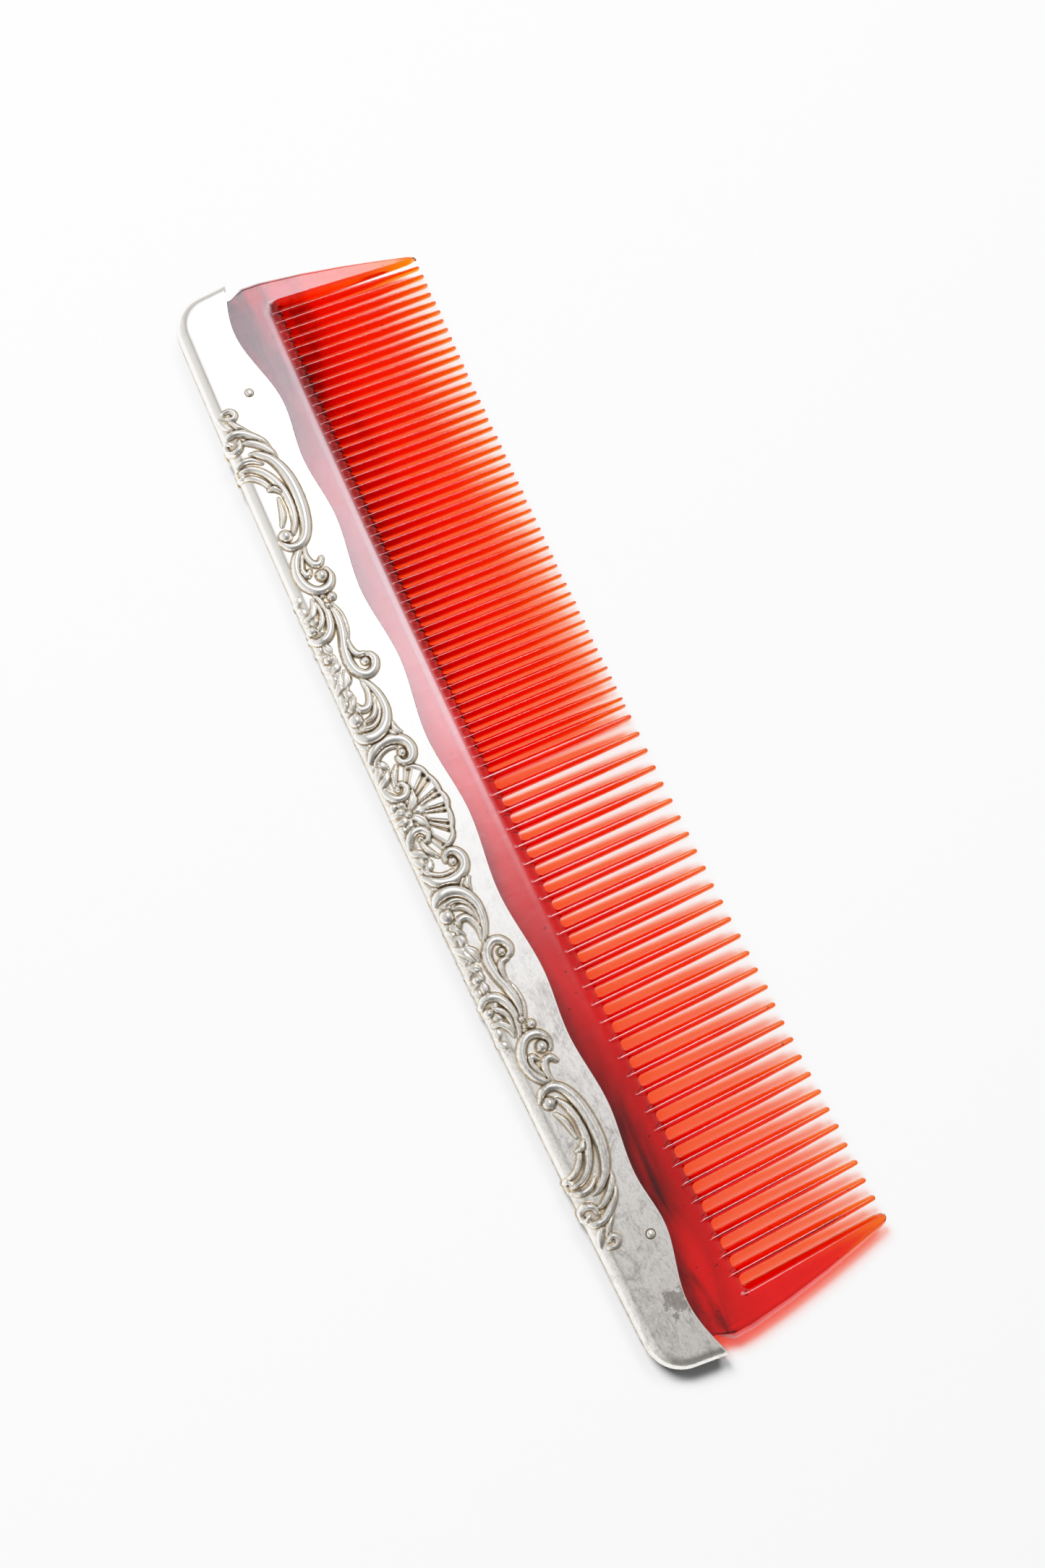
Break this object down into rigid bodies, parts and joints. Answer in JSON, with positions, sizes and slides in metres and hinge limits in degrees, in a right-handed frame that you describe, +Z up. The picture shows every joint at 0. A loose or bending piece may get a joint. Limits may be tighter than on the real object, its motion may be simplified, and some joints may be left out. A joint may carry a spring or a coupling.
{
  "type": "dresser comb",
  "caption": "Straight dresser comb with fine and coarse teeth, its back held in a riveted, die-stamped silver mount with a scalloped edge.",
  "frame": {"origin": "middle of the comb's length and width, on the surface it lies on", "axes": "+X along the comb to its coarse end, +Y to the tooth tips, +Z up through the front face"},
  "size_m": [0.1888, 0.0446, 0.0067],
  "materials": {
    "silver": "polished, with fine scratches and dark tarnish in the recesses",
    "solder": "dull",
    "filler": "rough, set hard",
    "celluloid": "glossy and translucent, red mottled with brown"
  },
  "bodies": {
    "root": {"front_shell": "silver", "back_shell": "silver", "solder_seam": "solder", "spine_filler": "filler", "fine_end_rivet": "silver", "coarse_end_rivet": "silver", "comb_body": "celluloid", "fine_teeth": "celluloid", "coarse_teeth": "celluloid", "fine_end_guard": "celluloid", "coarse_end_guard": "celluloid"}
  },
  "joints": []
}
